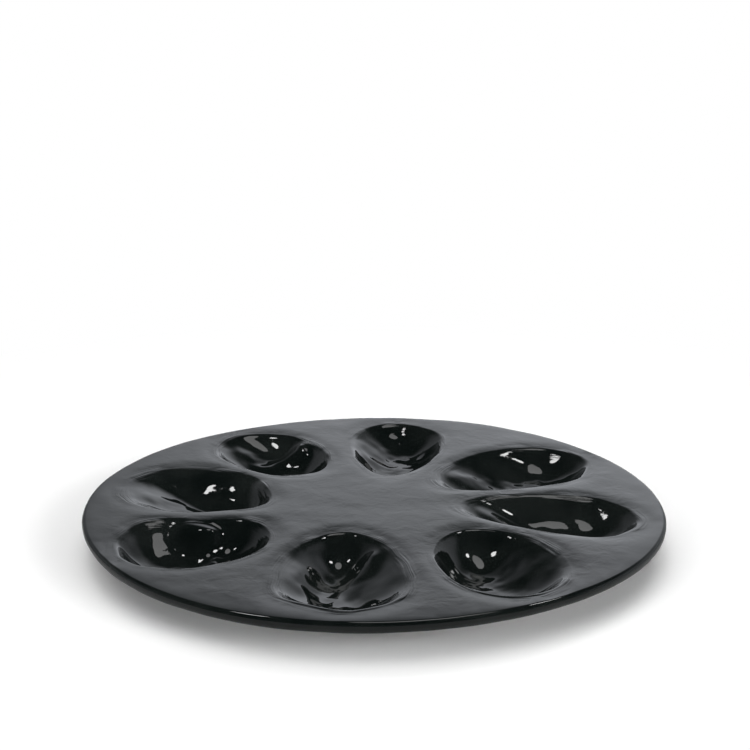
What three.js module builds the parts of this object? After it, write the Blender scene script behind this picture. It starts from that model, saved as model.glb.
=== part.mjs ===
// Oyster tray: a round stoneware tray with a ring of oyster-shaped wells, under one coat of black glaze.
// Millimetres, +Z up. The origin is on the table, under the middle of the tray.

import * as THREE from 'three';
import { mergeGeometries, mergeVertices } from 'three/addons/utils/BufferGeometryUtils.js';

// Slab: the flat top and its rounded edge
const TRAY_DIAMETER = 356;
const SLAB_THICKNESS = 7;
const EDGE_ROUND = 2.5;
const FOUR_LOBED_WOBBLE = 1.0;
const TWO_LOBED_WOBBLE = 0.7;
const FOUR_LOBED_BEARING = 65;
const TWO_LOBED_BEARING = 58;

// Ring of wells
const WELL_COUNT = 8;
const FIRST_WELL_BEARING = 80;
const RIM_BAND = 15;
const MIDDLE_FIELD_DIAMETER = 128;
const LAND_BETWEEN_WELLS = 18;
const WELL_DEPTH = 17.5;
const LIP_ROUND = 3;
const SIDE_FULLNESS = 2.6;
const END_FULLNESS = 4.2;
const PULL_EASE = 0.15;
const RIDGE_SINK = 8;

// Underside: a bulge below each well, with a flat foot
const FLOOR_THICKNESS = 5.5;
const BULGE_FILLET = 4;
const BULGE_FULLNESS = 3.4;
const FOOT_LENGTH = 44;
const FOOT_WIDTH = 30;
const FOOT_HEIGHT = 1.5;
const BARE_MARGIN = 1.5;

// Glaze coat, and the clearance that keeps the two solids apart
const GLAZE_THICKNESS = 0.6;
const GLAZE_CLEARANCE = 0.3;

// Facets
const EDGE_POINTS = 64;
const EDGE_STEPS = 5;
const WELL_POINTS = 20;
const BOWL_RINGS = [1, 0.94, 0.84, 0.66, 0.44, 0.2];
const BULGE_RINGS = [0, 0.12, 0.4, 0.7, 1];
const WELD_DISTANCE = 1e-4;

// Each well was pressed by hand round its own shell. turn and lean are degrees: turn moves the well
// round the ring, lean swings its axis off the radius. outer and inner move its two ends away from
// the middle and breadth widens it, in millimetres. taper narrows the inner end. pull moves the
// deepest point along and across the axis. Each lobe [bearing, spread, share] moves the lip outwards,
// and each shoulder [bearing, spread, share] turns it into a long slope; bearings start at the outer
// end. ridge is a path along and across the axis, with the height and width of the ridge left on it.
const HAND_FORMED = [
  {
    turn: 1.8, lean: 4, outer: -1, inner: -16, breadth: -7, taper: 0.26,
    lobes: [[100, 25, -0.05]],
    shoulders: [[70, 40, 0.6]],
  },
  {
    turn: 1.7, lean: -3, outer: 0.5, inner: 2.5, breadth: -2, taper: 0.08,
    pull: [-6, -2],
    shoulders: [[20, 50, 0.6]],
    ridge: { height: 8, width: 8, path: [[12, -38], [6, -24], [10, -10], [7, 13]] },
  },
  {
    turn: 0.1, lean: -10, outer: -3, inner: 0.5, breadth: 9, taper: 0.12,
    pull: [-14, 0],
    lobes: [[-150, 25, -0.08], [160, 25, 0.04]],
    shoulders: [[20, 60, 0.9], [-75, 40, 0.8]],
  },
  {
    turn: -1.3, lean: -14.5, outer: 3, inner: 16.5, breadth: 3, taper: 0.06,
    lobes: [[-62, 24, 0.12], [-112, 20, -0.1], [-145, 18, 0.06]],
    shoulders: [[-108, 25, 0.7]],
    ridge: { height: 7, width: 8, path: [[-3, -30], [-13, -20], [-10, -9], [-9, 22]] },
  },
  {
    turn: 0.9, lean: 8.5, outer: -1, inner: -6, breadth: -2, taper: 0.1,
    pull: [-8, -4],
    lobes: [[62, 28, 0.12], [-60, 22, 0.08], [-25, 20, -0.05]],
    shoulders: [[-90, 45, 0.85], [92, 42, 0.8], [0, 30, 0.2]],
    ridge: { height: 5, width: 9, path: [[-36, 25], [-26, 16], [-11.5, 6.6], [20, -3]] },
  },
  {
    turn: -0.2, lean: -24, outer: 1.5, inner: 7.5, breadth: -6, taper: 0.02,
    pull: [-2, -3],
    lobes: [[95, 32, 0.14], [60, 30, 0.12]],
    shoulders: [[100, 40, 0.75]],
  },
  {
    turn: -3.3, lean: -2.5, outer: -2.5, inner: -8, breadth: -9, taper: 0.12,
    lobes: [[140, 25, 0.07], [-105, 40, -0.13], [-50, 22, 0.1], [75, 35, 0.16]],
    shoulders: [[175, 42, 0.8]],
  },
  {
    turn: -1.7, lean: -2.5, outer: 0.5, inner: -9, breadth: 2, taper: 0.14,
    lobes: [[-70, 40, 0.05], [-150, 25, 0.05]],
    shoulders: [[150, 35, 0.8], [100, 35, 0.4]],
  },
];

// Heights above the table
const TOP = WELL_DEPTH + FLOOR_THICKNESS + FOOT_HEIGHT;
const SLAB_UNDERSIDE = TOP - SLAB_THICKNESS;
const BULGE_BOTTOM = FOOT_HEIGHT;

const radians = THREE.MathUtils.degToRad;

// Lower of two heights, blended over a band of the given depth where they meet.
function softMin(a, b, blend) {
  const overlap = Math.max(0, 1 - Math.abs(a - b) / blend);
  return Math.min(a, b) - (blend / 4) * overlap * overlap;
}

// Radius of the tray's edge at a bearing. Both wobbles are even, so the tray stays centred.
function edgeRadius(bearing) {
  const fourLobed = FOUR_LOBED_WOBBLE * Math.cos(4 * (bearing - radians(FOUR_LOBED_BEARING)));
  const twoLobed = TWO_LOBED_WOBBLE * Math.cos(2 * (bearing - radians(TWO_LOBED_BEARING)));
  return TRAY_DIAMETER / 2 + fourLobed + twoLobed;
}

// One well: its centre, the direction of its axis, and the half sizes of its egg-shaped outline.
function makeWell(index) {
  const hand = HAND_FORMED[index % HAND_FORMED.length];
  const bearing = radians(FIRST_WELL_BEARING + (360 / WELL_COUNT) * index + hand.turn);
  const axis = bearing + radians(hand.lean);
  const outerEnd = TRAY_DIAMETER / 2 - RIM_BAND;
  const innerEnd = MIDDLE_FIELD_DIAMETER / 2;
  const pitch = (outerEnd + innerEnd) * Math.sin(Math.PI / WELL_COUNT);
  const radius = (outerEnd + hand.outer + innerEnd + hand.inner) / 2;
  return {
    centre: new THREE.Vector2(Math.cos(bearing), Math.sin(bearing)).multiplyScalar(radius),
    axis: new THREE.Vector2(Math.cos(axis), Math.sin(axis)),
    halfLength: (outerEnd + hand.outer - innerEnd - hand.inner) / 2,
    halfWidth: (pitch - LAND_BETWEEN_WELLS + hand.breadth) / 2,
    taper: hand.taper,
    pull: hand.pull ?? [0, 0],
    lobes: hand.lobes ?? [],
    shoulders: hand.shoulders ?? [],
    ridge: hand.ridge,
  };
}

const WELLS = Array.from({ length: WELL_COUNT }, (_, index) => makeWell(index));

// Point in plan from a well's own coordinates: along its axis, and across it.
function inPlan(well, along, across) {
  return new THREE.Vector2(
    well.centre.x + along * well.axis.x - across * well.axis.y,
    well.centre.y + along * well.axis.y + across * well.axis.x,
  );
}

// Sum of smooth bumps round a well, each with its bearing, spread and height.
function swell(bumps, angle) {
  return bumps.reduce((total, [bearing, spread, height]) => {
    const turned = angle - radians(bearing);
    const away = Math.atan2(Math.sin(turned), Math.cos(turned)) / radians(spread);
    return total + height * Math.exp(-away * away);
  }, 0);
}

const WELL_ANGLES = Array.from({ length: WELL_POINTS }, (_, step) => (2 * Math.PI * step) / WELL_POINTS);

// Point of an egg round a well's centre, at an angle from its outer end.
function eggPoint(well, halfLength, halfWidth, taper, angle) {
  const across = halfWidth * Math.sin(angle) * (1 + taper * Math.cos(angle));
  return inPlan(well, halfLength * Math.cos(angle), across);
}

// Point at a share of the way from a well's deepest point (0) to its lip (1).
function wellPoint(well, share, angle) {
  const swollen = share * (1 + Math.min(share, 1) ** 2 * swell(well.lobes, angle));
  const halfLength = well.halfLength * swollen;
  const halfWidth = well.halfWidth * swollen;
  const point = eggPoint(well, halfLength, halfWidth, well.taper * swollen, angle);
  const inside = Math.max(0, 1 - share);
  const pulled = inPlan(well, ...well.pull).sub(well.centre);
  return point.addScaledVector(pulled, (inside * inside) / (inside + PULL_EASE));
}

function wellRing(well, share) {
  return WELL_ANGLES.map((angle) => wellPoint(well, share, angle));
}

// The share of a well's lip line that a point in plan lies at.
function shareOfOutline(well, point) {
  const offset = point.clone().sub(well.centre);
  const along = offset.dot(well.axis) / well.halfLength;
  const across = well.axis.cross(offset) / well.halfWidth / (1 + well.taper * along);
  return Math.hypot(along, across) / (1 + swell(well.lobes, Math.atan2(across, along)));
}

// Height that the fingers left standing on a ridge across a well. It dies away along its path.
function ridgeHeight(well, point) {
  if (!well.ridge) {
    return 0;
  }
  const path = well.ridge.path.map(([along, across]) => inPlan(well, along, across));
  const spans = path.slice(1).map((end, step) => {
    const run = end.clone().sub(path[step]);
    const offset = point.clone().sub(path[step]);
    const place = THREE.MathUtils.clamp(offset.dot(run) / run.lengthSq(), 0, 1);
    return { away: offset.addScaledVector(run, -place).length(), along: (step + place) / (path.length - 1) };
  });
  const { away, along } = spans.reduce((best, span) => (span.away < best.away ? span : best));
  return well.ridge.height * (1 - along * along) * Math.exp(-((away / well.ridge.width) ** 2));
}

// Height of the glazed top inside a well: a full bowl, fullest at its two ends, that rolls over a
// soft lip, or over a long slope where there is a shoulder.
function bowlHeight(well, share, angle) {
  const soft = Math.min(swell(well.shoulders, angle), 1);
  const fullness = THREE.MathUtils.lerp(SIDE_FULLNESS, END_FULLNESS, Math.cos(angle) ** 2);
  const rolled = Math.pow(share, fullness) - 1;
  const sloped = -0.5 - 0.5 * Math.cos(Math.PI * Math.min(share, 1));
  const rise = WELL_DEPTH * THREE.MathUtils.lerp(rolled, sloped, soft);
  const sunk = softMin(0, rise, Math.max(LIP_ROUND * (1 - soft), WELD_DISTANCE));
  const ridge = ridgeHeight(well, wellPoint(well, share, angle));
  return TOP + sunk + ridge * Math.min(-sunk / RIDGE_SINK, 1);
}

// Height of the glazed underside below a well: a fuller bowl that springs from the slab.
function bulgeHeight(well, point) {
  const drop = SLAB_UNDERSIDE - BULGE_BOTTOM;
  const rise = drop * (Math.pow(shareOfOutline(well, point), BULGE_FULLNESS) - 1);
  return SLAB_UNDERSIDE + softMin(0, rise, BULGE_FILLET);
}

// Outline share at which a softened bowl has run out level with the flat round it.
function runOut(depth, blend, fullness) {
  return Math.pow(1 + blend / depth, 1 / fullness);
}

const LIP_SHARE = runOut(WELL_DEPTH, LIP_ROUND, SIDE_FULLNESS);
const FILLET_SHARE = runOut(SLAB_UNDERSIDE - BULGE_BOTTOM, BULGE_FILLET, BULGE_FULLNESS);

function lift(ring, heightAt) {
  return ring.map((point) => new THREE.Vector3(point.x, point.y, heightAt(point)));
}

// Skin through a row of closed rings that have as many points each.
function loft(rings) {
  const count = rings[0].length;
  const index = [];
  for (let row = 0; row + 1 < rings.length; row += 1) {
    for (let step = 0; step < count; step += 1) {
      const next = (step + 1) % count;
      const a = row * count + step;
      const b = row * count + next;
      index.push(a, b, a + count, b, b + count, a + count);
    }
  }
  const skin = new THREE.BufferGeometry().setFromPoints(rings.flat());
  skin.setIndex(index);
  return skin;
}

// Fan from a ring to one point in its middle.
function fan(ring, middle) {
  const count = ring.length;
  const index = ring.flatMap((_, step) => [step, (step + 1) % count, count]);
  const skin = new THREE.BufferGeometry().setFromPoints([...ring, middle]);
  skin.setIndex(index);
  return skin;
}

// Level skin at one height inside an outline, with holes.
function levelSkin(outline, holes, height) {
  const shape = new THREE.Shape(outline);
  shape.holes = holes.map((hole) => new THREE.Path(hole));
  const skin = new THREE.ShapeGeometry(shape).translate(0, 0, height);
  skin.deleteAttribute('normal');
  skin.deleteAttribute('uv');
  return skin;
}

function turnedOver(skin) {
  const index = Array.from(skin.getIndex().array);
  skin.setIndex(index.reverse());
  return skin;
}

// The tray's edge in plan, set in from its widest line.
function edgeRing(inset) {
  return Array.from({ length: EDGE_POINTS }, (_, step) => {
    const bearing = (2 * Math.PI * step) / EDGE_POINTS;
    const radius = edgeRadius(bearing) - inset;
    return new THREE.Vector2(radius * Math.cos(bearing), radius * Math.sin(bearing));
  });
}

function roundedEdge() {
  const rings = [];
  for (let step = 0; step <= EDGE_STEPS; step += 1) {
    const angle = Math.PI * (step / EDGE_STEPS - 0.5);
    const height = TOP - SLAB_THICKNESS / 2 + (SLAB_THICKNESS / 2) * Math.sin(angle);
    rings.push(lift(edgeRing(EDGE_ROUND * (1 - Math.cos(angle))), () => height));
  }
  return loft(rings);
}

function slabTop() {
  const lips = WELLS.map((well) => wellRing(well, LIP_SHARE));
  return levelSkin(edgeRing(EDGE_ROUND), lips, TOP);
}

function slabUnderside() {
  const fillets = WELLS.map((well) => wellRing(well, FILLET_SHARE));
  return turnedOver(levelSkin(edgeRing(EDGE_ROUND), fillets, SLAB_UNDERSIDE));
}

function bowl(well) {
  const lip = lift(wellRing(well, LIP_SHARE), () => TOP);
  const wall = (share, angle) => {
    const point = wellPoint(well, share, angle);
    return new THREE.Vector3(point.x, point.y, bowlHeight(well, share, angle));
  };
  const rings = BOWL_RINGS.map((share) => WELL_ANGLES.map((angle) => wall(share, angle)));
  return mergeGeometries([loft([lip, ...rings]), fan(rings.at(-1), wall(0, 0))]);
}

function footRing(well, margin) {
  const halfLength = FOOT_LENGTH / 2 + margin;
  const halfWidth = FOOT_WIDTH / 2 + margin;
  return WELL_ANGLES.map((angle) => eggPoint(well, halfLength, halfWidth, well.taper, angle));
}

function bulge(well) {
  const heightAt = (point) => bulgeHeight(well, point);
  const spring = wellRing(well, FILLET_SHARE);
  const glazeLine = footRing(well, BARE_MARGIN);
  const rings = BULGE_RINGS.map((share) => {
    const ring = spring.map((point, step) => point.clone().lerp(glazeLine[step], share));
    return lift(ring, share === 0 ? () => SLAB_UNDERSIDE : heightAt);
  });
  return turnedOver(loft(rings));
}

// Bare margin, the side of the foot and its flat sole on the table.
function foot(well) {
  const heightAt = (point) => bulgeHeight(well, point);
  const sole = lift(footRing(well, 0), () => 0);
  const rings = [lift(footRing(well, BARE_MARGIN), heightAt), lift(footRing(well, 0), heightAt), sole];
  const middle = new THREE.Vector3(well.centre.x, well.centre.y, 0);
  return turnedOver(mergeGeometries([loft(rings), fan(sole, middle)]));
}

function weld(skins) {
  const welded = mergeVertices(mergeGeometries(skins), WELD_DISTANCE);
  welded.computeVertexNormals();
  return welded;
}

// The skin's vertices moved inwards along their normals.
function movedIn(skin, distance) {
  const position = skin.getAttribute('position');
  const normal = skin.getAttribute('normal');
  return Array.from({ length: position.count }, (_, vertex) => {
    const point = new THREE.Vector3().fromBufferAttribute(position, vertex);
    return point.addScaledVector(new THREE.Vector3().fromBufferAttribute(normal, vertex), -distance);
  });
}

// Closed coat of even thickness behind an open skin, with a wall along each open edge.
function coat(skin, thickness) {
  const outside = movedIn(skin, 0);
  const inside = movedIn(skin, thickness);
  const faces = Array.from(skin.getIndex().array);
  const count = outside.length;
  const edges = new Set();
  const edgeName = (from, to) => from * count + to;
  const nextCorner = (corner) => (corner % 3 === 2 ? corner - 2 : corner + 1);
  faces.forEach((vertex, corner) => edges.add(edgeName(vertex, faces[nextCorner(corner)])));
  const index = [...faces, ...faces.map((vertex) => vertex + count).reverse()];
  faces.forEach((vertex, corner) => {
    const next = faces[nextCorner(corner)];
    if (!edges.has(edgeName(next, vertex))) {
      index.push(next, vertex, vertex + count, next, vertex + count, next + count);
    }
  });
  const solid = new THREE.BufferGeometry().setFromPoints([...outside, ...inside]);
  solid.setIndex(index);
  return solid;
}

// Clay inside the coat. Its feet still reach the table.
function body(skin, distance) {
  const points = movedIn(skin, distance);
  const position = skin.getAttribute('position');
  points.forEach((point, vertex) => {
    if (position.getZ(vertex) < WELD_DISTANCE) {
      point.z = 0;
    }
  });
  const solid = new THREE.BufferGeometry().setFromPoints(points);
  solid.setIndex(skin.getIndex());
  return solid;
}

const glazedSkins = [slabTop(), slabUnderside(), roundedEdge()];
glazedSkins.push(...WELLS.map(bowl), ...WELLS.map(bulge));
const glazedSkin = weld(glazedSkins);
const wholeSkin = weld([...glazedSkins, ...WELLS.map(foot)]);

function piece(name, geometry, look) {
  geometry.computeVertexNormals();
  const mesh = new THREE.Mesh(geometry, new THREE.MeshStandardMaterial(look));
  mesh.name = name;
  return mesh;
}

const stoneware = body(wholeSkin, GLAZE_THICKNESS + GLAZE_CLEARANCE);
const glaze = coat(glazedSkin, GLAZE_THICKNESS);

const tray = new THREE.Group();
tray.name = 'oyster_tray';
tray.add(piece('stoneware_body', stoneware, { color: 0x9a8a78, roughness: 0.9, metalness: 0 }));
tray.add(piece('glaze_coat', glaze, { color: 0x0e1211, roughness: 0.08, metalness: 0 }));

export default tray;
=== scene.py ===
"""Oyster tray: a hand-pressed stoneware tray under a gloss black glaze, in a plain white studio."""

import math
from dataclasses import dataclass

import bmesh
import bpy
import numpy as np
from bpy.props import FloatProperty, FloatVectorProperty, IntProperty, PointerProperty
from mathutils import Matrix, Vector, geometry


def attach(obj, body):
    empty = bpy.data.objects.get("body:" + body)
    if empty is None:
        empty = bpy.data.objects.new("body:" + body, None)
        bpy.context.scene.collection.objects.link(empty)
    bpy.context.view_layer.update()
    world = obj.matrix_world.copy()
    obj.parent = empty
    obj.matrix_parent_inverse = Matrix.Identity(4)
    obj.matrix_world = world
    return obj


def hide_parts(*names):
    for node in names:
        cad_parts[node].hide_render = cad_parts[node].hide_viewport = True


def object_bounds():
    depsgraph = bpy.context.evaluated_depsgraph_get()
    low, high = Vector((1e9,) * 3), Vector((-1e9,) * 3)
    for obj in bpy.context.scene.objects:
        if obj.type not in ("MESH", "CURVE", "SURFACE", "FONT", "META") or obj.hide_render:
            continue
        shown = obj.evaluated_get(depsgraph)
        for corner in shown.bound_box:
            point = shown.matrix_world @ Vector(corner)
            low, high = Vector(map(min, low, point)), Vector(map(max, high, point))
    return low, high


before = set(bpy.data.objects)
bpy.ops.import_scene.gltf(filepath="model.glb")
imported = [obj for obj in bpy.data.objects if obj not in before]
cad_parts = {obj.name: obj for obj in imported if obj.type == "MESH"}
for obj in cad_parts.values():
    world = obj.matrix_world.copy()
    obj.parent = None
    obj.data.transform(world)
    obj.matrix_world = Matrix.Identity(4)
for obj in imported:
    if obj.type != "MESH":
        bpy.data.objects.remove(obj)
CAD_LOW, CAD_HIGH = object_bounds()

bl_info = {
    "name": "Oyster Tray",
    "version": (1, 0, 0),
    "blender": (4, 5, 0),
    "location": "View3D > Sidebar > Oyster Tray",
    "description": "Builds a glazed stoneware oyster tray and a plain studio round it",
    "category": "Add Mesh",
}

MM = 0.001


# Sizes, colours and light that a user can change


def number(name, description, default, **limits):
    """A plain number, with its limits or its unit."""
    return FloatProperty(name=name, description=description, default=default, **limits)


def length(name, description, millimetres):
    """A size, with its default in millimetres."""
    default = millimetres * MM
    return number(name, description, default, min=0.0, precision=5, subtype="DISTANCE", unit="LENGTH")


def colour(name, description, rgb):
    """A linear colour."""
    return FloatVectorProperty(
        name=name, description=description, default=rgb, size=3, min=0.0, max=1.0, subtype="COLOR"
    )


class TrayForm(bpy.types.PropertyGroup):
    """Sizes of the tray, the same as those of the solids in the frame."""

    diameter: length("Diameter", "Mean width of the tray", 356)
    slab: length("Slab", "Thickness of the flat slab", 7)
    edge_round: length("Edge round", "Depth of the rounded edge", 2.5)
    four_lobed: length("Four-lobed wobble", "How far the edge wanders, four times round", 1.0)
    two_lobed: length("Two-lobed wobble", "How far the edge wanders, twice round", 0.7)
    wells: IntProperty(name="Wells", description="Wells in the ring", default=8, min=3, max=12)
    first_bearing: number("First well", "Bearing of the first well", math.radians(80), subtype="ANGLE")
    rim_band: length("Rim band", "Flat band outside the wells", 15)
    middle_field: length("Middle field", "Width of the flat middle", 128)
    land: length("Land", "Flat land between two wells", 18)
    depth: length("Well depth", "Depth of a well below the flat top", 17.5)
    lip: length("Lip round", "Height over which a well's lip rolls over", 3)
    floor: length("Floor", "Thickness under a well", 5.5)
    fillet: length("Bulge fillet", "Height over which a bulge springs from the slab", 4)
    foot_length: length("Foot length", "Length of a foot", 44)
    foot_width: length("Foot width", "Width of a foot", 30)
    bare_margin: length("Bare margin", "Unglazed clay round a foot", 1.5)
    glaze: length("Glaze", "Thickness of the glaze coat", 0.6)
    clearance: length("Clearance", "Gap between the clay and the glaze", 0.3)


class TrayFinish(bpy.types.PropertyGroup):
    """Hand-made unevenness and colours."""

    seed: IntProperty(name="Seed", description="Seed of the unevenness", default=7, min=0)
    finger_height: length("Finger marks", "Height of the finger marks in the wells", 2.2)
    finger_size: length("Finger mark size", "Width of a finger mark", 26)
    ripple_height: length("Ripple", "Height of the slow ripple all over", 0.45)
    ripple_size: length("Ripple size", "Width of a ripple", 30)
    sag: length("Sag", "How far the flat sags towards a well", 1.0)
    edge_top: length("Edge top", "Depth of the edge's widest line below the flat", 2.2)
    edge_under: length("Edge under", "How far the edge draws in below its widest line", 4.5)
    lip_wander: number("Lip wander", "Share by which a lip strays from its egg", 0.07, min=0.0, max=0.2)
    glaze_dark: colour("Glaze, thick", "Colour where the glaze lies thick", (0.0032, 0.0048, 0.0045))
    glaze_light: colour("Glaze, thin", "Colour where the glaze lies thin", (0.0085, 0.0105, 0.0098))
    clay: colour("Clay", "Colour of the bare fired clay", (0.36, 0.28, 0.205))
    speck: colour("Specks", "Colour of the iron specks in the clay", (0.05, 0.032, 0.02))


class StudioSettings(bpy.types.PropertyGroup):
    """Camera and plain studio light."""

    backdrop: number("Backdrop", "Level of the pale backdrop in reflections", 0.84, min=0.0)
    ceiling: number("Ceiling", "Level of the dark ceiling in reflections", 0.012, min=0.0)
    top_light: number("Top light", "Level of the soft light from above", 1.8, min=0.0)
    low_light: number("Low light", "Level of the low soft light at the front left", 9.5, min=0.0)
    lamp_power: number("Lamps", "Power of each small lamp", 0.285, min=0.0, unit="POWER")
    panel_power: number("Panel", "Power of the overhead panel", 1.3, min=0.0, unit="POWER")
    camera_x: number("Camera X", "Place of the camera to the right", 0.97 * MM, unit="LENGTH")
    camera_y: number("Camera Y", "Place of the camera to the back", -777.5 * MM, unit="LENGTH")
    camera_rise: length("Camera rise", "Height of the camera above the flat top", 283.6)
    camera_pitch: number("Camera pitch", "Downward tilt", math.radians(14.715), subtype="ANGLE")
    camera_lens: number("Lens", "Focal length", 63.71, unit="CAMERA")


# The wells, as the maker's hand left them


@dataclass(frozen=True)
class Pressing:
    """How the hand changed one well, in degrees and millimetres.

    Turn moves the well round the ring and lean turns its axis. Outer and inner move its ends away from the
    tray's middle, breadth widens it, taper narrows its inner end, and pull moves its deepest point along
    and across its axis. Lobes, shoulders and beads are bumps round the lip: bearing from the outer end,
    spread, amount. A lobe moves the lip outwards by a share, a shoulder turns it by a share into a long
    slope, and a bead raises it. A ridge runs through points along and across the axis.
    """

    turn: float
    lean: float
    outer: float
    inner: float
    breadth: float
    taper: float
    pull: tuple = (0.0, 0.0)
    lobes: tuple = ()
    shoulders: tuple = ()
    beads: tuple = ()
    ridge: tuple = ()
    ridge_height: float = 4.0
    ridge_width: float = 9.0


HAND_FORMED = (
    Pressing(
        turn=1.8, lean=4, outer=-1, inner=-16, breadth=-7, taper=0.26,
        lobes=((100, 25, -0.05),), shoulders=((70, 40, 0.6),),
    ),
    Pressing(
        turn=1.7, lean=-3, outer=0.5, inner=2.5, breadth=-2, taper=0.08, pull=(-6, -2),
        shoulders=((20, 50, 0.6),),
        ridge=((12, -38), (6, -24), (10, -10), (7, 13)), ridge_height=8.0, ridge_width=8.0,
    ),
    Pressing(
        turn=0.1, lean=-10, outer=-3, inner=0.5, breadth=9, taper=0.12, pull=(-14, 0),
        lobes=((-150, 25, -0.08), (160, 25, 0.04)), shoulders=((20, 60, 0.9), (-75, 40, 0.8)),
    ),
    Pressing(
        turn=-1.3, lean=-14.5, outer=3, inner=16.5, breadth=3, taper=0.06,
        lobes=((-62, 24, 0.12), (-112, 20, -0.1), (-145, 18, 0.06)),
        shoulders=((-108, 25, 0.7),),
        ridge=((-3, -30), (-13, -20), (-10, -9), (-9, 22)), ridge_height=7.0, ridge_width=8.0,
    ),
    Pressing(
        turn=0.9, lean=8.5, outer=-1, inner=-6, breadth=-2, taper=0.10, pull=(-8, -4),
        lobes=((62, 28, 0.12), (-60, 22, 0.08), (-25, 20, -0.05)),
        shoulders=((-90, 45, 0.85), (92, 42, 0.8), (0, 30, 0.2)),
        beads=((0, 60, 0.6),),
        ridge=((-36, 25), (-26, 16), (-11.5, 6.6), (20, -3)), ridge_height=5.0,
    ),
    Pressing(
        turn=-0.2, lean=-24, outer=1.5, inner=7.5, breadth=-6, taper=0.02, pull=(-2, -3),
        lobes=((95, 32, 0.14), (60, 30, 0.12)), shoulders=((100, 40, 0.75),), beads=((-20, 65, 0.6),),
    ),
    Pressing(
        turn=-3.3, lean=-2.5, outer=-2.5, inner=-8, breadth=-9, taper=0.12,
        lobes=((140, 25, 0.07), (-105, 40, -0.13), (-50, 22, 0.1), (75, 35, 0.16)),
        shoulders=((175, 42, 0.8),),
    ),
    Pressing(
        turn=-1.7, lean=-2.5, outer=0.5, inner=-9, breadth=2, taper=0.14,
        lobes=((-70, 40, 0.05), (-150, 25, 0.05)), shoulders=((150, 35, 0.8), (100, 35, 0.4)),
    ),
)

# How squarely the walls of wells and bulges drop
SIDE_FULLNESS = 2.6
END_FULLNESS = 4.2
BULGE_FULLNESS = 3.4

# How gently the pull on a deepest point dies out, and the narrowest that a taper makes a well
PULL_EASE = 0.15
NARROWEST_TAPER = 0.2

# Bearings at which the tray's edge wanders out most
FOUR_LOBED_BEARING = math.radians(65)
TWO_LOBED_BEARING = math.radians(58)


@dataclass
class Well:
    """Plan of one well: an egg, blunt end outwards, as the hand left it."""

    centre: np.ndarray
    axis: np.ndarray
    half_length: float
    half_width: float
    hand: Pressing

    @property
    def side(self):
        return np.array((-self.axis[1], self.axis[0]))

    def swell(self, bumps, angles):
        """Sum of smooth bumps round the well."""
        total = np.zeros_like(angles)
        for bearing, spread, amount in bumps:
            away = np.angle(np.exp(1j * (angles - math.radians(bearing))))
            total = total + amount * np.exp(-((away / math.radians(spread)) ** 2))
        return total

    def softness(self, angles):
        """How far the lip has become a long slope, 0 to 1."""
        return np.minimum(self.swell(self.hand.shoulders, angles), 1.0)

    def bead(self, angles):
        """Height of the roll of clay along the lip."""
        return self.swell(self.hand.beads, angles) * MM

    def fullness(self, angles):
        """How squarely the wall drops, most at the two ends."""
        return SIDE_FULLNESS + (END_FULLNESS - SIDE_FULLNESS) * np.cos(angles) ** 2

    def egg(self, half_length, half_width, taper, angles):
        """Egg-shaped ring round the well's centre."""
        along = half_length * np.cos(angles)
        across = half_width * np.sin(angles) * (1 + taper * np.cos(angles))
        return self.centre + along[:, None] * self.axis + across[:, None] * self.side

    def ring_at(self, share, angles):
        """Ring at a share of the way from the deepest point to the lip."""
        swollen = share * (1 + min(share, 1.0) ** 2 * self.swell(self.hand.lobes, angles))
        half_length, half_width = self.half_length * swollen, self.half_width * swollen
        ring = self.egg(half_length, half_width, self.hand.taper * swollen, angles)
        inside = max(0.0, 1 - share)
        pulled = inside**2 / (inside + PULL_EASE) * MM
        along, across = self.hand.pull
        return ring + pulled * (along * self.axis + across * self.side)

    def locate(self, points):
        """Share of the lip at which points in plan lie, and their bearings inside the well."""
        offset = points - self.centre
        along = offset @ self.axis / self.half_length
        narrowing = np.maximum(1 + self.hand.taper * along, NARROWEST_TAPER)
        across = offset @ self.side / self.half_width / narrowing
        angles = np.arctan2(across, along)
        return np.hypot(along, across) / (1 + self.swell(self.hand.lobes, angles)), angles

    def share_of(self, points):
        return self.locate(points)[0]

    def ridge_at(self, points):
        """Height of the ridge that the fingers left across the well."""
        if not self.hand.ridge:
            return np.zeros(len(points))
        offset = points - self.centre
        spots = np.stack((offset @ self.axis, offset @ self.side), 1)
        nodes = np.array(self.hand.ridge) * MM
        nearest = np.full(len(points), np.inf)
        along = np.zeros(len(points))
        for index, (start, end) in enumerate(zip(nodes[:-1], nodes[1:])):
            run = end - start
            place = np.clip((spots - start) @ run / (run @ run), 0, 1)
            away = np.hypot(*(spots - start - place[:, None] * run).T)
            closer = away < nearest
            nearest = np.where(closer, away, nearest)
            along = np.where(closer, (index + place) / (len(nodes) - 1), along)
        crest = self.hand.ridge_height * MM * (1 - along**2)
        return crest * np.exp(-((nearest / (self.hand.ridge_width * MM)) ** 2))


def make_wells(form):
    """The ring of wells, from the tray's sizes and the maker's hand."""
    outer_end = form.diameter / 2 - form.rim_band
    inner_end = form.middle_field / 2
    pitch = (outer_end + inner_end) * math.sin(math.pi / form.wells)
    wells = []
    for index in range(form.wells):
        hand = HAND_FORMED[index % len(HAND_FORMED)]
        bearing = form.first_bearing + 2 * math.pi * index / form.wells + math.radians(hand.turn)
        axis = bearing + math.radians(hand.lean)
        start, end = inner_end + hand.inner * MM, outer_end + hand.outer * MM
        wells.append(
            Well(
                centre=(start + end) / 2 * np.array((math.cos(bearing), math.sin(bearing))),
                axis=np.array((math.cos(axis), math.sin(axis))),
                half_length=(end - start) / 2,
                half_width=(pitch - form.land + hand.breadth * MM) / 2,
                hand=hand,
            )
        )
    return wells


# The flat skin, before the wells are pressed in

TOP = 1.0
UNDER = -1.0
FAR_FROM_WELLS = 9.0


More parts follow.
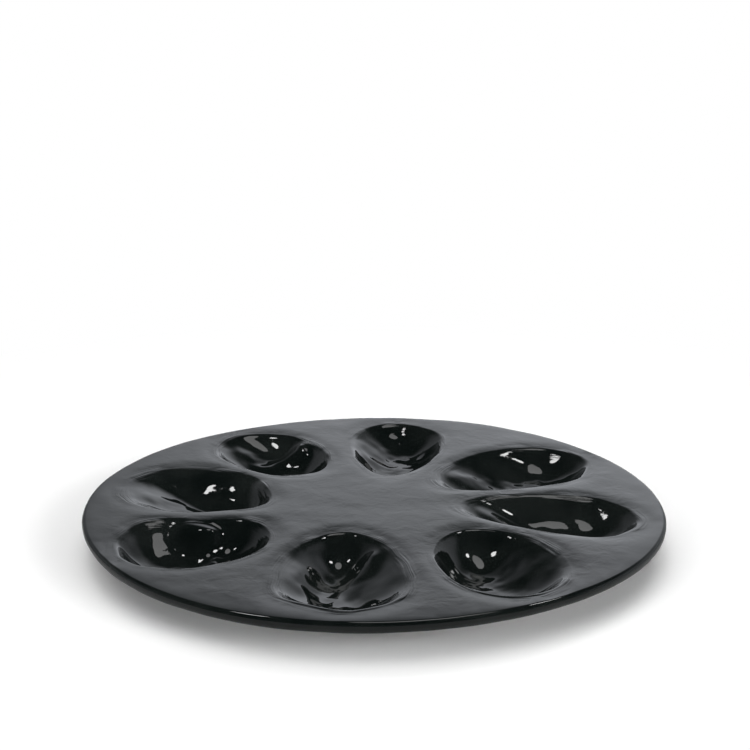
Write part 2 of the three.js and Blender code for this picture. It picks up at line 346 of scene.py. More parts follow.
class SkinPlan:
    """Collects rings and level sheets into one welded mesh with the attributes that shape it."""

    WELD = 2e-6
    PLAN_TOLERANCE = 1e-9
    HOLE_TOLERANCE = 0.9999
    SEED_GAP = 0.6
    PLAIN = dict(share=FAR_FROM_WELLS, fullness=1.0, soft=0.0, bead=0.0, ridge=0.0, side=0.0, sole=0.0)

    def __init__(self):
        self.points, self.faces = [], []
        self.layers = {label: [] for label in self.PLAIN}

    def add(self, points, faces, turned_over=False, **values):
        """Points and faces, with values for their attributes or the plain ones."""
        start = sum(len(block) for block in self.points)
        self.points.append(np.asarray(points))
        for face in faces:
            corners = reversed(face) if turned_over else face
            self.faces.append([start + corner for corner in corners])
        for label, store in self.layers.items():
            store.append(np.broadcast_to(values.get(label, self.PLAIN[label]), len(points)))

    def add_loft(self, rings, turned_over=False, **values):
        """Quads between rings that have as many points each."""
        count = len(rings[0])
        step = np.arange(count)
        after = (step + 1) % count
        faces = []
        for row in range(len(rings) - 1):
            near, far = row * count, (row + 1) * count
            faces += np.stack((near + step, near + after, far + after, far + step), 1).tolist()
        self.add(np.concatenate(rings), faces, turned_over, **values)

    def add_fan(self, ring, middle, turned_over=False, **values):
        """Triangles from a ring to one point."""
        count = len(ring)
        step = np.arange(count)
        faces = np.stack((step, (step + 1) % count, np.full(count, count)), 1)
        self.add(np.vstack((ring, middle)), faces.tolist(), turned_over, **values)

    def add_level(self, outline, wells, hole_share, holes, spacing, height, side, turned_over=False):
        """Even triangles inside an outline and outside the holes round the wells."""
        loops = [outline, *holes]
        seeds = hex_points(outline, spacing)
        gap = self.SEED_GAP * spacing
        clear = np.hypot(*seeds.T) < np.hypot(*outline.T).min() - gap
        for well in wells:
            room = 1 + gap / (hole_share * well.half_width)
            clear &= well.share_of(seeds) > hole_share * room
        plan = [Vector(point) for point in (*np.concatenate(loops), *seeds[clear])]
        edges, start = [], 0
        for loop in loops:
            edges += [(start + k, start + (k + 1) % len(loop)) for k in range(len(loop))]
            start += len(loop)
        found = geometry.delaunay_2d_cdt(plan, edges, [], 0, self.PLAN_TOLERANCE)
        flat = np.array([tuple(point) for point in found[0]])
        triangles = np.array([face for face in found[2] if len(face) == 3])
        middles = flat[triangles].mean(1)
        kept = np.hypot(*middles.T) < np.hypot(*outline.T).max()
        for well in wells:
            kept &= well.share_of(middles) > hole_share * self.HOLE_TOLERANCE
        share, fullness, soft = nearest_well(flat, wells)
        points, faces = lifted(flat, height), triangles[kept].tolist()
        self.add(points, faces, turned_over, share=share, fullness=fullness, soft=soft, side=side)

    def to_mesh(self, name):
        """Smooth mesh without doubled or loose points."""
        mesh = bpy.data.meshes.new(name)
        mesh.from_pydata(np.concatenate(self.points).tolist(), [], self.faces)
        for label, store in self.layers.items():
            layer = mesh.attributes.new(label, "FLOAT", "POINT")
            layer.data.foreach_set("value", np.concatenate(store).astype(np.float32))
        welded = bmesh.new()
        welded.from_mesh(mesh)
        bmesh.ops.remove_doubles(welded, verts=welded.verts, dist=self.WELD)
        loose = [vertex for vertex in welded.verts if not vertex.link_faces]
        bmesh.ops.delete(welded, geom=loose, context="VERTS")
        welded.to_mesh(mesh)
        welded.free()
        mesh.polygons.foreach_set("use_smooth", np.ones(len(mesh.polygons), bool))
        return mesh


def nearest_well(points, wells):
    """Share, fullness and softness of the lip that is nearest to each point in plan."""
    share = np.full(len(points), FAR_FROM_WELLS)
    fullness, soft = np.ones(len(points)), np.zeros(len(points))
    for well in wells:
        found, angles = well.locate(points)
        fullness = np.where(found < share, well.fullness(angles), fullness)
        soft = np.where(found < share, well.softness(angles), soft)
        share = np.minimum(share, found)
    return share, fullness, soft


def hex_points(outline, spacing):
    """Points of a triangular grid that covers an outline."""
    far = np.abs(outline).max()
    rows = np.arange(-far, far, spacing * math.sqrt(3) / 2)
    columns = np.arange(-far, far, spacing)
    across, up = np.meshgrid(columns, rows)
    across[1::2] += spacing / 2
    return np.stack((across.ravel(), up.ravel()), 1)


def lifted(plan, height):
    """Points in plan, set at one height."""
    return np.column_stack((plan, np.full(len(plan), height)))


@dataclass
class Fineness:
    """How finely the edge and the flats of a skin are divided."""

    round_edge: int
    edge_steps: int
    top_spacing: float
    under_spacing: float


GLAZE_FINENESS = Fineness(round_edge=288, edge_steps=12, top_spacing=3.6 * MM, under_spacing=7.0 * MM)
CLAY_FINENESS = Fineness(round_edge=128, edge_steps=8, top_spacing=9.0 * MM, under_spacing=9.0 * MM)

# Rings lie close together over the lip and the steep wall, and open out on the floor of a well.
WELL_ANGLES = np.linspace(0, 2 * math.pi, 96, endpoint=False)
BOWL_SHARES = np.concatenate((np.linspace(1.1, 0.8, 20), np.linspace(0.775, 0.05, 22)))

# A bulge springs from the slab at a share of the lip and runs in steps to its foot.
BULGE_SPRING = 1.09
BULGE_STEPS = np.linspace(0, 1, 9)
MARGIN_RINGS = 4
FOOT_CHAMFER = 0.5 * MM


def tray_plan(form, finish, fineness, with_feet):
    """The tray's whole skin, still flat: the wells and bulges carry the share that presses them in."""
    top = CAD_HIGH.z
    underside = top - form.slab
    wells = make_wells(form)
    skin = SkinPlan()

    outline = edge_ring(form, form.edge_round, fineness.round_edge)
    lips = [well.ring_at(BOWL_SHARES[0], WELL_ANGLES) for well in wells]
    skin.add_level(outline, wells, BOWL_SHARES[0], lips, fineness.top_spacing, top, TOP)
    for well in wells:
        add_bowl(skin, well, top)

    add_edge(skin, form, finish, fineness, top)

    outline = edge_ring(form, finish.edge_under, fineness.round_edge)
    springs = [well.ring_at(BULGE_SPRING, WELL_ANGLES) for well in wells]
    skin.add_level(outline, wells, BULGE_SPRING, springs, fineness.under_spacing, underside, UNDER, True)
    for well, spring in zip(wells, springs):
        line = foot_ring(form, well, form.bare_margin)
        add_bulge(skin, well, [spring + (line - spring) * step for step in BULGE_STEPS], underside)
        if with_feet:
            add_foot(skin, form, well, underside)
    return skin


def add_bowl(skin, well, top):
    """Rings of one well, from outside its lip to its deepest point."""
    plans = [well.ring_at(share, WELL_ANGLES) for share in BOWL_SHARES]
    rings = [lifted(plan, top) for plan in plans]
    fullness, soft = well.fullness(WELL_ANGLES), well.softness(WELL_ANGLES)
    skin.add_loft(
        rings,
        share=np.repeat(BOWL_SHARES, len(WELL_ANGLES)),
        fullness=np.tile(fullness, len(BOWL_SHARES)),
        soft=np.tile(soft, len(BOWL_SHARES)),
        bead=np.tile(well.bead(WELL_ANGLES), len(BOWL_SHARES)),
        ridge=well.ridge_at(np.concatenate(plans)),
        side=TOP,
    )
    deepest = plans[-1].mean(0)
    skin.add_fan(
        rings[-1],
        (*deepest, top),
        share=np.append(np.full(len(WELL_ANGLES), BOWL_SHARES[-1]), 0.0),
        fullness=np.append(fullness, SIDE_FULLNESS),
        soft=np.append(soft, soft.mean()),
        ridge=well.ridge_at(np.vstack((plans[-1], deepest))),
        side=TOP,
    )


def edge_ring(form, inset, count):
    """The tray's edge in plan, set in from its widest line."""
    bearing = np.linspace(0, 2 * math.pi, count, endpoint=False)
    radius = form.diameter / 2 - inset
    radius = radius + form.four_lobed * np.cos(4 * (bearing - FOUR_LOBED_BEARING))
    radius = radius + form.two_lobed * np.cos(2 * (bearing - TWO_LOBED_BEARING))
    return np.stack((radius * np.cos(bearing), radius * np.sin(bearing)), 1)


def add_edge(skin, form, finish, fineness, top):
    """The tray's edge: a tight round above its widest line, drawn in further below it."""
    widest = top - finish.edge_top
    rings = []
    for step in range(fineness.edge_steps + 1):
        angle = math.pi * (step / fineness.edge_steps - 0.5)
        upper = angle > 0
        inset = (form.edge_round if upper else finish.edge_under) * (1 - math.cos(angle))
        rise = (finish.edge_top if upper else form.slab - finish.edge_top) * math.sin(angle)
        rings.append(lifted(edge_ring(form, inset, fineness.round_edge), widest + rise))
    skin.add_loft(rings)


def add_bulge(skin, well, plans, underside):
    """Rings on the underside that are pressed down into the bulge below a well."""
    share = np.concatenate([well.share_of(plan) for plan in plans])
    skin.add_loft([lifted(plan, underside) for plan in plans], turned_over=True, share=share, side=UNDER)


def foot_ring(form, well, margin):
    """Outline of a well's foot, widened by a margin."""
    half_length, half_width = form.foot_length / 2 + margin, form.foot_width / 2 + margin
    return well.egg(half_length, half_width, well.hand.taper, WELL_ANGLES)


def add_foot(skin, form, well, underside):
    """Bare margin, side, worn edge and flat sole of one foot."""
    margins = np.linspace(form.bare_margin, 0, MARGIN_RINGS)
    plans = [foot_ring(form, well, margin) for margin in margins]
    add_bulge(skin, well, plans, underside)
    worn = lifted(foot_ring(form, well, 0), FOOT_CHAMFER)
    sole = lifted(foot_ring(form, well, -FOOT_CHAMFER), 0.0)
    # The side's upper ring is pressed down with the bulge; the lower two stand on the table.
    count = len(WELL_ANGLES)
    skin.add_loft(
        [lifted(plans[-1], underside), worn, sole],
        turned_over=True,
        share=np.append(well.share_of(plans[-1]), np.full(2 * count, FAR_FROM_WELLS)),
        side=np.repeat((UNDER, 0.0, 0.0), count),
        sole=np.repeat((0.0, 1.0, 1.0), count),
    )
    skin.add_fan(sole, (*well.centre, 0.0), turned_over=True, sole=1.0)


# Node helpers, shared by the shape, the materials and the studio


def link(tree, value, socket):
    """Feeds a socket from another socket or sets it to a plain value."""
    if isinstance(value, bpy.types.NodeSocket):
        tree.links.new(value, socket)
    else:
        socket.default_value = value


def maths(tree, operation, *values):
    node = tree.nodes.new("ShaderNodeMath")
    node.operation = operation
    for socket, value in zip(node.inputs, values):
        link(tree, value, socket)
    return node.outputs[0]


def product(tree, first, *factors):
    for factor in factors:
        first = maths(tree, "MULTIPLY", first, factor)
    return first


def vector_node(tree, operation, *vectors):
    node = tree.nodes.new("ShaderNodeVectorMath")
    node.operation = operation
    for socket, vector in zip(node.inputs, vectors):
        link(tree, vector, socket)
    return node


def combined(tree, x, y, z):
    node = tree.nodes.new("ShaderNodeCombineXYZ")
    for socket, value in zip(node.inputs, (x, y, z)):
        link(tree, value, socket)
    return node.outputs[0]


def eased(tree, value, low, high, to_low=0.0, to_high=1.0):
    """Smooth step of a value between two limits."""
    node = tree.nodes.new("ShaderNodeMapRange")
    node.interpolation_type = "SMOOTHSTEP"
    for socket, given in zip(node.inputs, (value, low, high, to_low, to_high)):
        link(tree, given, socket)
    return node.outputs[0]


def noise(tree, vector, scale, detail=2.0, roughness=0.5, seed=0.0, distortion=0.0):
    """Noise from 0 to 1, whose seed is its fourth coordinate."""
    node = tree.nodes.new("ShaderNodeTexNoise")
    node.noise_dimensions = "4D"
    link(tree, vector, node.inputs["Vector"])
    link(tree, scale, node.inputs["Scale"])
    node.inputs["Detail"].default_value = detail
    node.inputs["Roughness"].default_value = roughness
    node.inputs["Distortion"].default_value = distortion
    link(tree, seed, node.inputs["W"])
    return node.outputs[0]


# The tree that presses the skin

PRESS_SIZES = (
    "Well Depth", "Lip Round", "Bulge Drop", "Bulge Fillet", "Finger Height", "Finger Size",
    "Ripple Height", "Ripple Size", "Lip Wander", "Sag", "Inset",
)
THINNEST_LIP = 0.05 * MM

# Depth from which a ridge has its full height
RIDGE_SINK = 8 * MM

# Where the hand's work lies, by share of the lip
SAG_SHARES = (1.35, 0.95)
FINGER_SHARES = (1.0, 0.55)
BEAD_SHARE = 1.03
BEAD_SPREAD = 0.035

# Steps that keep the noises of one seed apart
FINGER_SEED = 11.0
RIPPLE_SEED = 23.0

SHARP_ANGLE = math.radians(45)


def pressed_form():
    """Geometry Nodes tree that presses wells and bulges into the flat skin and leaves it uneven."""
    tree = bpy.data.node_groups.new("pressed_tray", "GeometryNodeTree")
    sockets = tree.interface
    sockets.new_socket("Geometry", in_out="OUTPUT", socket_type="NodeSocketGeometry")
    sockets.new_socket("Geometry", in_out="INPUT", socket_type="NodeSocketGeometry")
    for name in PRESS_SIZES:
        sockets.new_socket(name, in_out="INPUT", socket_type="NodeSocketFloat")
    sockets.new_socket("Seed", in_out="INPUT", socket_type="NodeSocketInt")
    sockets.new_socket("Material", in_out="INPUT", socket_type="NodeSocketMaterial")
    given = tree.nodes.new("NodeGroupInput").outputs

    skin = {label: point_value(tree, label) for label in SkinPlan.PLAIN}
    skin["on_top"] = maths(tree, "MAXIMUM", skin["side"], 0.0)
    skin["below"] = maths(tree, "MAXIMUM", product(tree, skin["side"], -1.0), 0.0)
    height = pressed_height(tree, given, skin)
    pressed = moved(tree, given["Geometry"], combined(tree, 0.0, 0.0, height))
    formed = moved(tree, pressed, uneven_shift(tree, given, skin))

    realized = tree.nodes.new("GeometryNodeRealizeInstances")
    link(tree, formed, realized.inputs["Geometry"])
    finished = tree.nodes.new("GeometryNodeSetMaterial")
    link(tree, realized.outputs["Geometry"], finished.inputs["Geometry"])
    link(tree, given["Material"], finished.inputs["Material"])
    output = tree.nodes.new("NodeGroupOutput")
    link(tree, finished.outputs["Geometry"], output.inputs[0])
    return tree


def point_value(tree, label):
    """An attribute of the skin's points."""
    node = tree.nodes.new("GeometryNodeInputNamedAttribute")
    node.data_type = "FLOAT"
    node.inputs["Name"].default_value = label
    return next(socket for socket in node.outputs if socket.enabled)


def moved(tree, shape, offset):
    node = tree.nodes.new("GeometryNodeSetPosition")
    link(tree, shape, node.inputs["Geometry"])
    link(tree, offset, node.inputs["Offset"])
    return node.outputs[0]


def hand_noise(tree, size, detail, roughness, seed):
    """Noise from -1 to 1, in lumps of a given size."""
    position = tree.nodes.new("GeometryNodeInputPosition").outputs[0]
    lumps = noise(tree, position, maths(tree, "DIVIDE", 1.0, size), detail, roughness, seed)
    return maths(tree, "MULTIPLY_ADD", lumps, 2.0, -1.0)


def blended(tree, factor, first, second):
    change = maths(tree, "SUBTRACT", second, first)
    return maths(tree, "MULTIPLY_ADD", change, factor, first)


def steep_wall(tree, share, fullness):
    """Height of a full wall as a part of the depth: -1 at the deepest point, 0 at the lip."""
    return maths(tree, "SUBTRACT", maths(tree, "POWER", share, fullness), 1.0)


def long_slope(tree, share):
    """Height of a slope that is level at the deepest point and at the lip."""
    turn = product(tree, maths(tree, "MINIMUM", share, 1.0), math.pi)
    return maths(tree, "MULTIPLY_ADD", maths(tree, "COSINE", turn), -0.5, -0.5)


def soft_drop(tree, rise, depth, blend):
    """The lower of the wall and the flat, with the corner between them rounded over a height."""
    rise = product(tree, rise, depth)
    near = maths(tree, "DIVIDE", maths(tree, "ABSOLUTE", rise), blend)
    near = maths(tree, "MAXIMUM", maths(tree, "SUBTRACT", 1.0, near), 0.0)
    near = product(tree, near, near, blend)
    return maths(tree, "MULTIPLY_ADD", near, -0.25, maths(tree, "MINIMUM", rise, 0.0))


def bead_section(tree, share):
    """Rounded section of a bead across the lip, 1 at its crest."""
    off = maths(tree, "DIVIDE", maths(tree, "SUBTRACT", share, BEAD_SHARE), BEAD_SPREAD)
    return maths(tree, "EXPONENT", product(tree, off, off, -1.0))


def pressed_height(tree, given, skin):
    """How far each point of the flat skin goes down into a well or a bulge."""
    share, soft = skin["share"], skin["soft"]
    stray = hand_noise(tree, given["Finger Size"], 1.0, 0.4, given["Seed"])
    strayed = maths(tree, "MULTIPLY_ADD", stray, given["Lip Wander"], share)
    strayed = maths(tree, "MAXIMUM", strayed, 0.0)
    wall = blended(tree, soft, steep_wall(tree, strayed, skin["fullness"]), long_slope(tree, strayed))
    lip = maths(tree, "MAXIMUM", blended(tree, soft, given["Lip Round"], 0.0), THINNEST_LIP)
    bowl = soft_drop(tree, wall, given["Well Depth"], lip)
    sunk = maths(tree, "MINIMUM", maths(tree, "DIVIDE", bowl, -RIDGE_SINK), 1.0)
    bowl = maths(tree, "MULTIPLY_ADD", skin["ridge"], sunk, bowl)
    sagging = eased(tree, strayed, *SAG_SHARES, to_low=0.0, to_high=-1.0)
    bowl = maths(tree, "MULTIPLY_ADD", sagging, given["Sag"], bowl)
    bowl = maths(tree, "MULTIPLY_ADD", skin["bead"], bead_section(tree, share), bowl)
    bulge = steep_wall(tree, share, BULGE_FULLNESS)
    bulge = soft_drop(tree, bulge, given["Bulge Drop"], given["Bulge Fillet"])
    bowl = product(tree, bowl, skin["on_top"])
    return maths(tree, "ADD", bowl, product(tree, bulge, skin["below"]))


def uneven_shift(tree, given, skin):
    """Finger marks in the wells and a ripple all over, along the normal; the soles stay level."""
    seed = maths(tree, "ADD", given["Seed"], FINGER_SEED)
    marks = hand_noise(tree, given["Finger Size"], 2.0, 0.45, seed)
    in_well = product(tree, eased(tree, skin["share"], *FINGER_SHARES), skin["on_top"])
    marks = product(tree, marks, in_well, given["Finger Height"])
    seed = maths(tree, "ADD", given["Seed"], RIPPLE_SEED)
    ripple = hand_noise(tree, given["Ripple Size"], 3.0, 0.5, seed)
    off_sole = maths(tree, "SUBTRACT", 1.0, skin["sole"])
    ripple = product(tree, ripple, off_sole, given["Ripple Height"])
    uneven = maths(tree, "SUBTRACT", maths(tree, "ADD", marks, ripple), given["Inset"])
    normal = tree.nodes.new("GeometryNodeInputNormal").outputs[0]
    shifted = vector_node(tree, "SCALE", normal)
    link(tree, uneven, shifted.inputs["Scale"])
    level = vector_node(tree, "MULTIPLY", shifted.outputs[0], combined(tree, 1.0, 1.0, off_sole))
    return level.outputs[0]


def press(piece, form, finish, material, inset):
    """Adds the tree to a piece with its inputs set by identifier."""
    values = {
        "Well Depth": form.depth - finish.sag,
        "Lip Round": form.lip,
        "Bulge Drop": form.depth + form.floor - form.slab,
        "Bulge Fillet": form.fillet,
        "Finger Height": finish.finger_height,
        "Finger Size": finish.finger_size,
        "Ripple Height": finish.ripple_height,
        "Ripple Size": finish.ripple_size,
        "Lip Wander": finish.lip_wander,
        "Sag": finish.sag,
        "Inset": inset,
        "Seed": finish.seed,
        "Material": material,
    }
    tree = pressed_form()
    modifier = piece.modifiers.new("pressed", "NODES")
    modifier.node_group = tree
    for item in tree.interface.items_tree:
        if item.in_out == "INPUT" and item.name in values:
            modifier[item.identifier] = values[item.name]


def settle(piece):
    """Turns a piece and its modifiers into a plain mesh."""
    depsgraph = bpy.context.evaluated_depsgraph_get()
    evaluated = piece.evaluated_get(depsgraph)
    mesh = bpy.data.meshes.new_from_object(evaluated, preserve_all_data_layers=True, depsgraph=depsgraph)
    piece.modifiers.clear()
    piece.data = mesh
    mesh.set_sharp_from_angle(angle=SHARP_ANGLE)


def new_object(name, data):
    added = bpy.data.objects.new(name, data)
    bpy.context.scene.collection.objects.link(added)
    return added


# Materials

GLAZE_IOR = 1.5
GLAZE_ROUGHNESS = (0.025, 0.06)
PEEL_HEIGHT = 0.02 * MM
PINHOLE_HEIGHT = 0.04 * MM
PINHOLE_STRENGTH = 0.25

# Strokes on the flat, which fade over a lip to a share in the wells and end in a band at the edge
STROKE_HEIGHT = 0.28 * MM
STROKE_SHARES = (0.85, 1.15)
STROKES_IN_WELL = 0.15
STROKE_BAND = (20 * MM, 4 * MM)

# Lines along the lips, which start and end by share of the lip and break off where a noise is low
LIP_LINE_HEIGHT = 0.55 * MM
LIP_LINE_SCALE = 32.0
LIP_LINE_WANDER = 0.14
LIP_LINE_INNER = (0.86, 0.97)
LIP_LINE_OUTER = (1.2, 1.06)
LIP_LINE_BREAKS = (0.42, 0.62)

# Clay, with the tones of its flashed patches and sand grains as shares of its colour
CLAY_ROUGHNESS = (0.78, 0.95)
FLASHED = 0.72
SANDY = 1.25
SPECK_SCALE = 420.0
SPECK_EDGE = (0.2, 0.1)
GRAIN_HEIGHT = 0.12 * MM
GRAIN_STRENGTH = 0.6


def cleared_tree(owner, output):
    """The emptied tree of a material or a world, and the surface that its output shows."""
    owner.use_nodes = True
    tree = owner.node_tree
    tree.nodes.clear()
    return tree, tree.nodes.new(output).inputs["Surface"]


def new_material(name):
    """A material with its tree, its Principled shader and its Object coordinates."""
    material = bpy.data.materials.new(name)
    tree, surface = cleared_tree(material, "ShaderNodeOutputMaterial")
    shader = tree.nodes.new("ShaderNodeBsdfPrincipled")
    link(tree, shader.outputs["BSDF"], surface)
    place = tree.nodes.new("ShaderNodeTexCoord").outputs["Object"]
    return material, tree, shader, place


def mixed_colour(tree, factor, first, second):
    node = tree.nodes.new("ShaderNodeMix")
    node.data_type = "RGBA"
    link(tree, factor, node.inputs[0])
    for socket, value in zip((node.inputs[6], node.inputs[7]), (first, second)):
        link(tree, value if isinstance(value, bpy.types.NodeSocket) else (*value, 1.0), socket)
    return node.outputs[2]


def bumped(tree, height, distance, strength=1.0, normal=None):
    node = tree.nodes.new("ShaderNodeBump")
    node.inputs["Strength"].default_value = strength
    node.inputs["Distance"].default_value = distance
    link(tree, height, node.inputs["Height"])
    if normal is not None:
        link(tree, normal, node.inputs["Normal"])
    return node.outputs["Normal"]


def surface_value(tree, label):
    """An attribute of the finished mesh."""
    node = tree.nodes.new("ShaderNodeAttribute")
    node.attribute_name = label
    return node.outputs["Fac"]


def reach(tree, place):
    """Distance from the tray's axis."""
    level = vector_node(tree, "MULTIPLY", place, (1.0, 1.0, 0.0))
    return vector_node(tree, "LENGTH", level.outputs[0]).outputs["Value"]


def hand_strokes(tree, place, share, on_top, rim):
    """Strokes of the hand that smoothed the flat; the wells and the edge are glassy."""
    start, end = (rim - band for band in STROKE_BAND)
    flat = product(
        tree,
        eased(tree, share, *STROKE_SHARES, to_low=STROKES_IN_WELL),
        on_top,
        eased(tree, reach(tree, place), start, end, to_low=1.0, to_high=0.0),
    )
    strokes = noise(tree, place, scale=85.0, detail=4.0, roughness=0.55, seed=8.0, distortion=0.6)
    return product(tree, strokes, flat)


def lip_lines(tree, place, share, on_top):
    """Fine lines that the fingers drew along the lips, in broken stretches."""
    wander = noise(tree, place, scale=48.0, detail=1.0, seed=14.0)
    over_lip = maths(tree, "MULTIPLY_ADD", wander, LIP_LINE_WANDER, share)
    lines = noise(tree, place, scale=LIP_LINE_SCALE, seed=over_lip)
    stretches = noise(tree, place, scale=36.0, detail=1.0, seed=16.0)
    near_lip = product(
        tree,
        eased(tree, share, *LIP_LINE_INNER),
        eased(tree, share, *LIP_LINE_OUTER),
        eased(tree, stretches, *LIP_LINE_BREAKS),
        on_top,
    )
    return product(tree, lines, near_lip)


def black_glaze(form, finish):
    """Deep gloss black: slow drifts of colour, strokes, lip lines, an orange-peel skin and pinholes."""
    material, tree, shader, place = new_material("black_glaze")
    drift = noise(tree, place, scale=28.0, detail=3.0, roughness=0.55, seed=3.0)
    tint = mixed_colour(tree, eased(tree, drift, 0.35, 0.7), finish.glaze_dark, finish.glaze_light)
    link(tree, tint, shader.inputs["Base Color"])
    haze = noise(tree, place, scale=95.0, detail=4.0, roughness=0.6, seed=5.0)
    link(tree, eased(tree, haze, 0.3, 0.75, *GLAZE_ROUGHNESS), shader.inputs["Roughness"])
    share = surface_value(tree, "share")
    on_top = eased(tree, surface_value(tree, "side"), 0.0, TOP)
    skin = bumped(tree, hand_strokes(tree, place, share, on_top, form.diameter / 2), STROKE_HEIGHT)
    skin = bumped(tree, lip_lines(tree, place, share, on_top), LIP_LINE_HEIGHT, normal=skin)
    peel = noise(tree, place, scale=260.0, seed=12.0)
    skin = bumped(tree, peel, PEEL_HEIGHT, normal=skin)
    pits = noise(tree, place, scale=900.0, detail=1.0, roughness=0.4, seed=9.0)
    skin = bumped(tree, eased(tree, pits, 0.2, 0.27), PINHOLE_HEIGHT, PINHOLE_STRENGTH, skin)
    link(tree, skin, shader.inputs["Normal"])
    shader.inputs["IOR"].default_value = GLAZE_IOR
    return material


def bare_stoneware(finish):
    """Fired clay, dry and sandy, with iron specks and a slightly darker flashed tone in patches."""
    material, tree, shader, place = new_material("bare_stoneware")
    flashed = tuple(FLASHED * channel for channel in finish.clay)
    sandy = tuple(min(1.0, SANDY * channel) for channel in finish.clay)
    patches = noise(tree, place, scale=40.0, detail=4.0, roughness=0.6, seed=2.0)
    body = mixed_colour(tree, eased(tree, patches, 0.3, 0.75), finish.clay, flashed)
    grog = noise(tree, place, scale=1400.0, detail=3.0, roughness=0.7, seed=4.0)
    body = mixed_colour(tree, eased(tree, grog, 0.45, 0.62), body, sandy)
    cells = tree.nodes.new("ShaderNodeTexVoronoi")
    cells.inputs["Scale"].default_value = SPECK_SCALE
    link(tree, place, cells.inputs["Vector"])
    sparse = noise(tree, place, scale=300.0, detail=1.0, seed=6.0)
    specks = eased(tree, cells.outputs["Distance"], *SPECK_EDGE)
    specks = product(tree, specks, eased(tree, sparse, 0.52, 0.6))
    link(tree, mixed_colour(tree, specks, body, finish.speck), shader.inputs["Base Color"])
    link(tree, eased(tree, grog, 0.3, 0.7, *CLAY_ROUGHNESS), shader.inputs["Roughness"])
    link(tree, bumped(tree, grog, GRAIN_HEIGHT, GRAIN_STRENGTH), shader.inputs["Normal"])
    return material


class OYSTERTRAY_OT_glaze_coat(bpy.types.Operator):
    """Lay the black glaze over the whole tray, in place of the plain coat of the frame"""

    bl_idname = "oyster_tray.glaze_coat"
    bl_label = "Glaze Coat"

    def execute(self, context):
        form, finish = context.scene.tray_form, context.scene.tray_finish
        plan = tray_plan(form, finish, GLAZE_FINENESS, with_feet=False)
        piece = new_object("black_glaze_coat", plan.to_mesh("black_glaze_coat"))
        press(piece, form, finish, black_glaze(form, finish), inset=0.0)
        backing = piece.modifiers.new("thickness", "SOLIDIFY")
        backing.thickness = form.glaze
        backing.offset = -1.0
        settle(piece)
        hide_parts("glaze_coat")
        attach(piece, "root")
        return {"FINISHED"}


class OYSTERTRAY_OT_stoneware_body(bpy.types.Operator):
    """Make the fired clay inside the glaze, whose bare feet stand on the table"""

    bl_idname = "oyster_tray.stoneware_body"
    bl_label = "Stoneware Body"

    def execute(self, context):
        form, finish = context.scene.tray_form, context.scene.tray_finish
        plan = tray_plan(form, finish, CLAY_FINENESS, with_feet=True)
        piece = new_object("bare_stoneware_body", plan.to_mesh("bare_stoneware_body"))
        press(piece, form, finish, bare_stoneware(finish), inset=form.glaze + form.clearance)
        settle(piece)
        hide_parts("stoneware_body")
        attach(piece, "root")
        return {"FINISHED"}


# Studio

FLOOR_REACH = 30.0
FLOOR_DROP = 0.2 * MM

# The floor's white, lifted for the camera, dimmed in reflections as painted shade, and where it fades to
# full white
FLOOR_WHITE = 0.75
FLOOR_LIFT = 0.25
FLOOR_DIM = -0.42
FLOOR_FADE = (0.3, 0.6)

# What reflections see, by direction: the backdrop up to the ceiling, faded along an axis to a factor
BACKDROP_TOP = math.sin(math.radians(19))
CEILING_START = math.sin(math.radians(41))
MIRRORED_FADES = (
    ("X", 0.0, -0.4, 0.25),
    ("X", 0.0, 0.2, 1.15),
    ("X", 0.25, 0.45, 0.4),
    ("Y", 0.1, -0.4, 0.06),
)
MIRRORED_TINT = (-0.045, -0.016, 0.05)

# The soft light that falls on the floor: a cone from above, and low light at the front left and right
TOP_LIGHT_FROM = (-0.13, -0.31, 0.942)
TOP_LIGHT_CONE = (0.8, 1.0)
NO_LIGHT = -1.0
LOW_LIGHT_BOTTOM = (0.12, 0.3)
LOW_LIGHT_TOP = (0.6, 0.4)
LOW_LIGHT_SIDES = (0.4, 0.65)
LOW_LIGHT_FRONT = (-0.25, -0.55)
LEFT_TO_RIGHT = (-0.4, 0.4)
RIGHT_GAIN = 1.7

# Lamps: name, place, width
LAMPS = (
    ("right_lamp", (0.36, 0.10, 0.55), 0.085),
    ("left_lamp", (-0.26, 0.06, 0.62), 0.085),
)
PANEL = ("overhead_panel", (0.175, 0.305, 1.15), 0.48)


def add_lamp(name, place, width, watts):
    """Round lamp that faces the tray."""
    light = bpy.data.lights.new(name, "AREA")
    light.shape = "DISK"
    light.size = width
    light.energy = watts
    lamp = new_object(name, light)
    lamp.location = place
    lamp.rotation_euler = (-Vector(place)).to_track_quat("-Z", "Y").to_euler()


def add_floor():
    mesh = bpy.data.meshes.new("studio_floor")
    far, drop = FLOOR_REACH, -FLOOR_DROP
    corners = [(-far, -far, drop), (far, -far, drop), (far, far, drop), (-far, far, drop)]
    mesh.from_pydata(corners, [], [(0, 1, 2, 3)])
    floor = new_object("studio_floor", mesh)
    mesh.materials.append(floor_material())


def mixed_shader(tree, factor, first, second):
    node = tree.nodes.new("ShaderNodeMixShader")
    for socket, value in zip(node.inputs, (factor, first.outputs[0], second.outputs[0])):
        link(tree, value, socket)
    return node


